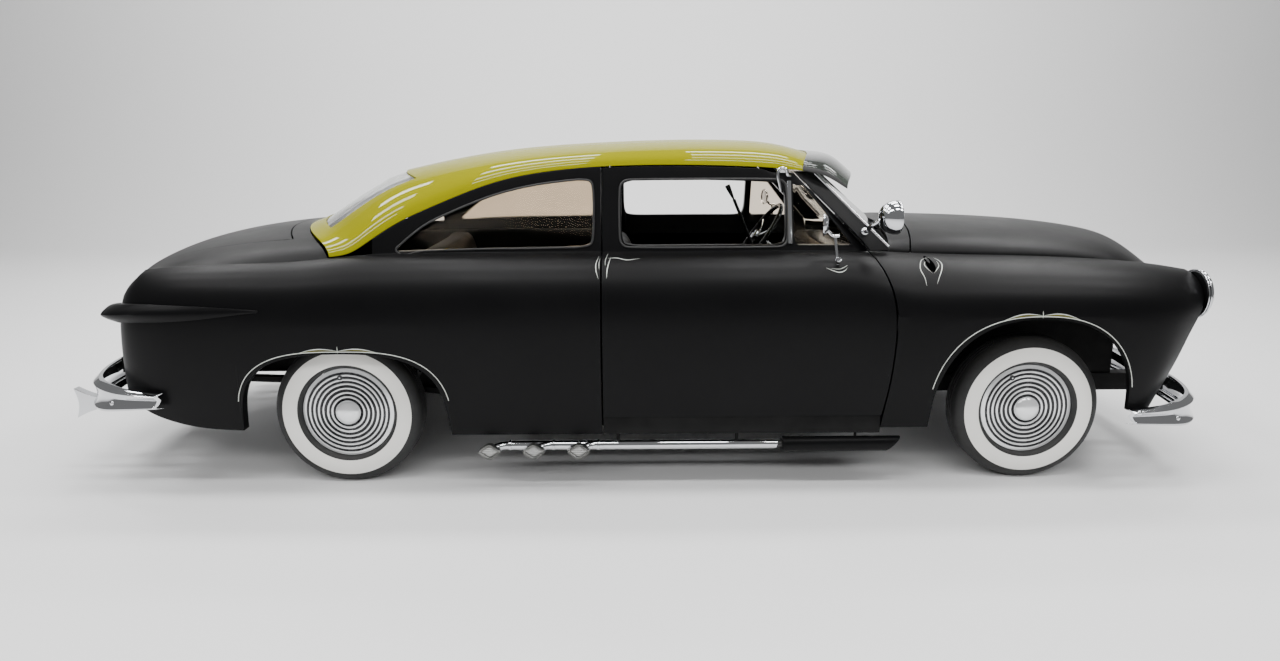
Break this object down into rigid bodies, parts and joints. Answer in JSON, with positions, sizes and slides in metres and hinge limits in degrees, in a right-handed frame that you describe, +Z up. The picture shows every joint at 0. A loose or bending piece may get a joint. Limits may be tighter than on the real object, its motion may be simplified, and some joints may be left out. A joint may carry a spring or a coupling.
{
  "type": "two-door custom sedan",
  "caption": "Low chopped two-door sedan with fastback roof, opening doors, hood and deck lid, steered front wheels, rippled wheel covers, side pipes and fishtail exhausts.",
  "frame": {"origin": "on the ground under the middle of the bounding box", "axes": "+X forward, +Y to the car's left, +Z up"},
  "size_m": [5, 1.8506, 1.4377],
  "materials": {
    "roof_paint": "gloss metallic",
    "body_black": "satin",
    "chrome": "polished",
    "glass": "tinted",
    "visor": "tinted",
    "upholstery": "matte",
    "cabin_plastic": "gloss",
    "chassis_black": "satin",
    "tyre": "matte"
  },
  "bodies": {
    "shell": {"roof_panel": "roof_paint", "quarter_left": "body_black", "quarter_right": "body_black", "deck_surround": "body_black", "cowl": "body_black", "windscreen_frame": "body_black", "fender_left": "body_black", "fender_right": "body_black", "front_panel": "chrome", "floor_pan": "body_black", "fixed_glass": "glass", "chassis_frame": "chassis_black", "front_suspension": "chassis_black", "rear_axle": "chassis_black", "engine": "chassis_black", "fuel_tank": "chassis_black", "dashboard": "cabin_plastic", "steering_column": "chassis_black", "front_seat": "upholstery", "rear_seat": "upholstery", "front_bumper": "chrome", "rear_bumper": "chrome", "headlamps": "chrome", "tail_lamps": "body_black", "sun_visor": "visor", "spotlights": "chrome", "side_pipes": "chrome", "exhaust": "chrome"},
    "door_left": {"door_left": "body_black", "vent_left": "glass", "mirror_left": "chrome"},
    "door_right": {"door_right": "body_black", "vent_right": "glass", "mirror_right": "chrome"},
    "hood": {"hood": "body_black"},
    "deck_lid": {"deck_lid": "body_black"},
    "knuckle_left": {"knuckle_left": "chassis_black"},
    "knuckle_right": {"knuckle_right": "chassis_black"},
    "front_left_wheel": {"wheel_fl": "chrome", "tyre_fl": "tyre"},
    "front_right_wheel": {"wheel_fr": "chrome", "tyre_fr": "tyre"},
    "rear_left_wheel": {"wheel_rl": "chrome", "tyre_rl": "tyre"},
    "rear_right_wheel": {"wheel_rr": "chrome", "tyre_rr": "tyre"},
    "steering_wheel": {"steering_wheel": "cabin_plastic"}
  },
  "joints": [
    {"name": "door_left_hinge", "type": "hinge", "parent": "shell", "child": "door_left", "pos_m": [1.031, 0.92, 0.6], "axis": [0, 0, -1], "range_deg": [0, 65]},
    {"name": "door_right_hinge", "type": "hinge", "parent": "shell", "child": "door_right", "pos_m": [1.031, -0.92, 0.6], "axis": [0, 0, 1], "range_deg": [0, 65]},
    {"name": "hood_hinge", "type": "hinge", "parent": "shell", "child": "hood", "pos_m": [1.242, 0, 1.063], "axis": [0, -1, 0], "range_deg": [0, 50]},
    {"name": "deck_lid_hinge", "type": "hinge", "parent": "shell", "child": "deck_lid", "pos_m": [-1.6422, 0, 1.04844], "axis": [0, 1, 0], "range_deg": [0, 60]},
    {"name": "steer_left", "type": "hinge", "parent": "shell", "child": "knuckle_left", "pos_m": [1.648, 0.585, 0.312], "axis": [0, 0, 1], "range_deg": [-30, 30]},
    {"name": "steer_right", "type": "hinge", "parent": "shell", "child": "knuckle_right", "pos_m": [1.648, -0.585, 0.312], "axis": [0, 0, 1], "range_deg": [-30, 30]},
    {"name": "front_left_spin", "type": "hinge", "parent": "knuckle_left", "child": "front_left_wheel", "pos_m": [1.648, 0.717, 0.312], "axis": [0, 1, 0], "continuous": true},
    {"name": "front_right_spin", "type": "hinge", "parent": "knuckle_right", "child": "front_right_wheel", "pos_m": [1.648, -0.717, 0.312], "axis": [0, 1, 0], "continuous": true},
    {"name": "rear_left_spin", "type": "hinge", "parent": "shell", "child": "rear_left_wheel", "pos_m": [-1.248, 0.717, 0.312], "axis": [0, 1, 0], "continuous": true},
    {"name": "rear_right_spin", "type": "hinge", "parent": "shell", "child": "rear_right_wheel", "pos_m": [-1.248, -0.717, 0.312], "axis": [0, 1, 0], "continuous": true},
    {"name": "steering_turn", "type": "hinge", "parent": "shell", "child": "steering_wheel", "pos_m": [0.64, 0.38, 0.915], "axis": [-0.8192, 0, 0.5736], "range_deg": [-540, 540]}
  ],
  "couplings": [
    {"joint": "steer_right", "follows": "steer_left", "ratio": 1},
    {"joint": "steering_turn", "follows": "steer_left", "ratio": 18}
  ]
}
